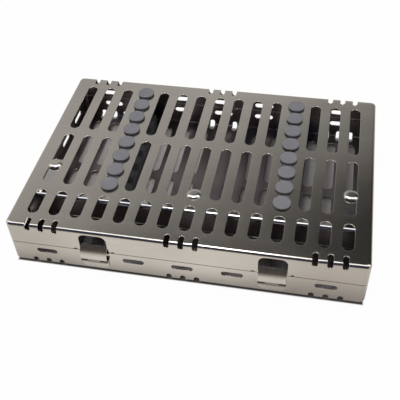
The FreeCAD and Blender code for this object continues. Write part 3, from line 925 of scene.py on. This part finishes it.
def leaningSheet(flat, depth, form):
    # flat is (across, run). The lean grows from 0 by (run - start) / radius up to its limit:
    # out = face + radius * (1 - cos(lean)) + rest * sin(limit) + depth * cos(lean)
    # up = start + radius * sin(lean) + rest * cos(limit) - depth * sin(lean)
    radius, limit = form["bendRadius"], math.radians(form["lean"])
    run = flat[..., 1] - form["bendStart"]
    lean = np.clip(run / radius, 0, limit)
    rest = np.maximum(run - radius * limit, 0)
    out = form["face"] + radius * (1 - np.cos(lean)) + rest * math.sin(limit) + depth * np.cos(lean)
    up = form["bendStart"] + np.minimum(run, 0) + radius * np.sin(lean) + rest * math.cos(limit) \
        - depth * np.sin(lean)
    return np.stack([flat[..., 0], out, up], axis=-1)


def makeLatchPlate(side):
    form = plateForm
    half, tab, tip = form["half"], form["tabHalf"], form["tip"]
    low, tabLow, soft = form["low"], form["tabLow"], form["cutRounding"]
    rows = form["bendStart"] + form["bendRadius"] * math.radians(form["lean"]) \
        * np.linspace(0, 1, form["bendSteps"] + 1)
    up = np.stack([np.full(len(rows), half), rows], axis=-1)
    high = rows[-1] + form["straight"]
    outline = np.concatenate([
        [(-half, low), (-tab, low), (-tab, tabLow), (tab, tabLow), (tab, low), (half, low)], up,
        arcPoints((half - tip, high), tip, 0, 90, form["tipSteps"]),
        arcPoints((tip - half, high), tip, 90, 180, form["tipSteps"]), (up * (-1, 1))[::-1]])
    move = -outlineMiter(outline, closed=True)
    parts = [cutEdge(outline, move, form, leaningSheet)]

    # one more edge parts the tab from the plate, because the tab has the barrel's dark colour, painted
    # shade of the gap at the hinge
    flat, faces, along = filledStrip([outline + move * soft], rows, half - soft, extra=[(1, 4)])
    lower = along < low
    for level in (0.0, form["steel"]):
        leaning = leaningSheet(flat, level, form)
        parts += [(leaning, faces[~lower]), (leaning, faces[lower], 1)]

    # the barrel: (across, radius) turned round the pin, across from one end to the other
    radius = form["barrelRadius"]
    ends = np.array([(-tab, 0), (-tab, radius - soft), (-tab + soft, radius),
                     (tab - soft, radius), (tab, radius - soft), (tab, 0)])
    angle = np.arange(form["segments"]) * (2 * math.pi / form["segments"])
    grid = np.stack([np.repeat(ends[:, :1], len(angle), axis=1),
                     form["barrel"][0] + ends[:, 1:] * np.cos(angle),
                     form["barrel"][1] + ends[:, 1:] * np.sin(angle)], axis=-1)
    parts.append((*gridPart(grid, closed=True), 1))
    parts = [standing(part, form["places"][side], 0, False) for part in parts]
    node = "latch_plate_" + side
    return addPiece("leaning_" + node, parts, ["latch", "barrel"], "latch_" + side,
                    [node], weighted=True)


for side in ("left", "right"):
    makeLatchPlate(side)
print("latch plates made")


# Small sheet parts: a merged copy of the solid with its edges broken

smallParts = {
    "edgeWidth": 0.14,
    "edgeSteps": 2,
    "edgeAngle": 36,
    "barrel": (*plateForm["barrel"], 2.1),      # y, z and radius of what has the barrel's dark colour, painted shade
    "flatAngle": 0.5,           # faces that turn by less are joined
}


def makeRefined(node, finishes, body):
    # with two finishes, the faces near the axis of the latch's barrel take the second, whose dark
    # colour is painted shade of the gap at the hinge
    build = bmesh.new()
    build.from_mesh(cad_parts[node].data)
    bmesh.ops.remove_doubles(build, verts=build.verts, dist=mergeDistance)
    bmesh.ops.dissolve_limit(build, angle_limit=math.radians(smallParts["flatAngle"]),
                             verts=build.verts, edges=build.edges)
    loose = sum(not edge.is_manifold for edge in build.edges)
    y, z, radius = smallParts["barrel"]
    for face in build.faces:
        middle = face.calc_center_median() / mm
        if math.hypot(middle.y - y, middle.z - z) < radius:
            face.material_index = len(finishes) - 1
    name = "fine_" + node
    mesh = bpy.data.meshes.new(name)
    build.to_mesh(mesh)
    build.free()
    piece = dressPiece(name, mesh, finishes, body, [node], smallParts["edgeAngle"], False,
                       loose)
    bevel = piece.modifiers.new("edges", "BEVEL")
    bevel.width = smallParts["edgeWidth"] * mm
    bevel.segments = smallParts["edgeSteps"]
    bevel.limit_method = "ANGLE"
    bevel.angle_limit = math.radians(smallParts["edgeAngle"])
    bevel.harden_normals = True
    return piece


for side in ("left", "right"):
    makeRefined("latch_leaf_" + side, ["latch", "barrel"], "base")
    makeRefined("latch_pin_" + side, ["pin"], "base")
    makeRefined("base_hinge_leaf_" + side, ["latch"], "base")
    makeRefined("lid_hinge_leaf_" + side, ["latch"], "lid")
    makeRefined("hinge_pin_" + side, ["pin"], "base")
print("small parts made")


# Floor, world, lamps and the cards that the steel mirrors

studio = {
    "floorSize": 6.0,
    # the matt colour under the part, darkened as painted shadow
    "shadedFloorColor": (0.56, 0.53, 0.52),
    "floorWhite": 0.98,         # how far the floor is lifted to plain white, for the camera
    "mirroredFloor": (0.25, 0.98),  # the same for what steel mirrors, near the part and far off; the low share near the part is a painted shadow
    "mirroredReach": 0.020,

    # painted shade on the floor as the steel mirrors it: where a change along X or Y starts and ends,
    # and the share of white that is left: at the left, at the right (where it also reaches further),
    # then far off at the right and in front
    "mirroredLeft": (-0.15, -0.05, 0.62),
    "mirroredRight": (0.02, 0.11, 0.58),
    "rightReach": 0.014,
    "rightShade": (0.17, 0.24, 0.08),
    "frontShade": (-0.27, -0.16, 0.04),

    # the floor under the part isn't lifted, and its matt colour is painted shadow, darker again under
    # the front bay
    "footprint": (0.1385, 0.0955),
    "footprintEdge": 0.0015,
    "frontBayShadow": (-0.060, -0.040, 0.30),
    "background": 1.0,
    "fill": 0.50,               # plain soft light from all sides
}


def addStage(name, points, faces, material):
    mesh = bpy.data.meshes.new(name)
    mesh.from_pydata(points, [], faces)
    mesh.materials.append(material)
    panel = bpy.data.objects.new(name, mesh)
    bpy.context.scene.collection.objects.link(panel)
    return panel


def rayKinds(board):
    # 1 for camera rays, and 1 for glossy and transmission rays
    rays = [board.add("LightPath", output=index) for index in (0, 3, 6)]
    return rays[0], rays[1].largest(rays[2])


def makeFloor(look):
    # white where it is clear of the part; under it a matt colour darkened as painted shadow
    half = look["floorSize"] / 2
    material, board = newMaterial("paper")
    x, y, z = board.place()
    width, depth = look["footprint"]
    away = (abs(x) - width).largest(abs(y) - depth)
    clear = board.eased(away, 0.0, look["footprintEdge"], 0.0, 1.0)
    # painted shade: the white that the steel mirrors is darker near the part, at the left and right,
    # and far off at the right and in front
    start, end, share = look["mirroredRight"]
    right = board.eased(x, start, end, 0.0, 1.0)
    mirrored = board.eased(away, 0.0, look["mirroredReach"] + right * look["rightReach"],
                           *look["mirroredFloor"])
    mirrored = mirrored * (1 - right * (1 - share))
    for name, place in (("mirroredLeft", x), ("frontShade", y)):
        start, end, share = look[name]
        mirrored = mirrored * board.eased(place, start, end, share, 1.0)
    start, end, share = look["rightShade"]
    mirrored = mirrored * board.eased(x, start, end, 1.0, share)
    seen, reflected = rayKinds(board)
    share = clear * (seen * look["floorWhite"] + reflected * mirrored)
    # painted shadow, darker again under the front bay
    start, end, bay = look["frontBayShadow"]
    shade = (board.eased(y, start, end, bay, 1.0) * (1 - clear) + clear)
    matt = board.add("BsdfDiffuse", sockets={"Color": board.tinted(look["shadedFloorColor"], shade)})
    white = board.add("Emission", sockets={"Color": (1, 1, 1, 1), "Strength": look["background"]})
    surface = board.add("MixShader", sockets={0: share, 1: matt, 2: white})
    board.node("OutputMaterial", sockets={"Surface": surface})
    corners = [(-half, -half, 0), (half, -half, 0), (half, half, 0), (-half, half, 0)]
    addStage("floor", corners, [(0, 1, 2, 3)], material)


def makeWorld(look):
    world = bpy.data.worlds.new("studio")
    bpy.context.scene.world = world
    world.use_nodes = True
    board = NodeBoard(world.node_tree)
    seen, reflected = rayKinds(board)
    strength = seen.largest(reflected) * (look["background"] - look["fill"]) + look["fill"]
    light = board.add("Background", sockets={"Color": (1, 1, 1, 1), "Strength": strength})
    board.node("OutputWorld", sockets={"Surface": light})


cardShape = {"radius": 1.2, "half": 2.4, "steps": 25}

# arcs about the part, from one height angle to the other, with 0 at the back and 180 in front;
# each colour changes between two stops of the height angle + slant * x
cards = {
    "backCard": {"arc": (2, 64), "strength": 1.0, "slant": 25, "stops": (30, 57),
                 "colors": ((0.547, 0.556, 0.564), (0.035, 0.034, 0.034))},
    "topCard": {"arc": (64, 100), "strength": 2.2, "slant": 0, "stops": (64, 100),
                "colors": ((0.92, 0.96, 1.0), (0.92, 0.96, 1.0))},
    "frontCard": {"arc": (100, 179), "strength": 1.0, "slant": 0, "stops": (128, 160),
                  "colors": ((0.035, 0.060, 0.15), (0.075, 0.065, 0.055))},
}


def makeCard(name, look):
    # a strip of a cylinder about X: y = radius * cos(angle), z = radius * sin(angle)
    material, board = newMaterial(name)
    x, y, z = board.place()
    angle = y.sum("ARCTAN2", z, y) * (180 / math.pi) + x * look["slant"]
    first, last = ((*color, 1) for color in look["colors"])
    color = board.add("Mix", {"data_type": "RGBA"}, {
        0: board.eased(angle, *look["stops"], 0.0, 1.0), 6: first, 7: last}, output=2)
    light = board.add("Emission", sockets={"Color": color, "Strength": look["strength"]})
    board.node("OutputMaterial", sockets={"Surface": light})
    turn = np.radians(np.linspace(*look["arc"], cardShape["steps"]))[:, None]
    out, up = cardShape["radius"] * np.cos(turn), cardShape["radius"] * np.sin(turn)
    sides = np.array([(-1, 1)]) * cardShape["half"]
    points, faces = gridPart(np.stack(np.broadcast_arrays(sides, out, up), axis=-1))
    card = addStage(name, points.tolist(), faces.tolist(), material)
    for kind in ("camera", "diffuse", "shadow", "transmission", "volume_scatter"):
        setattr(card, "visible_" + kind, False)


lamps = {
    "softbox": {"place": (-0.1, 0.0, 1.15), "size": (1.4, 0.26), "power": 6.5},
}


def makeLamp(name, look):
    data = bpy.data.lights.new(name, "AREA")
    data.shape = "RECTANGLE"
    data.size, data.size_y = look["size"]
    data.energy = look["power"]
    lamp = bpy.data.objects.new(name, data)
    lamp.location = look["place"]
    lamp.rotation_euler = (-lamp.location).to_track_quat("-Z", "Y").to_euler()
    bpy.context.scene.collection.objects.link(lamp)


makeFloor(studio)
makeWorld(studio)
for name, look in cards.items():
    makeCard(name, look)
for name, look in lamps.items():
    makeLamp(name, look)
bpy.context.scene.view_settings.view_transform = "Standard"
print("studio made")
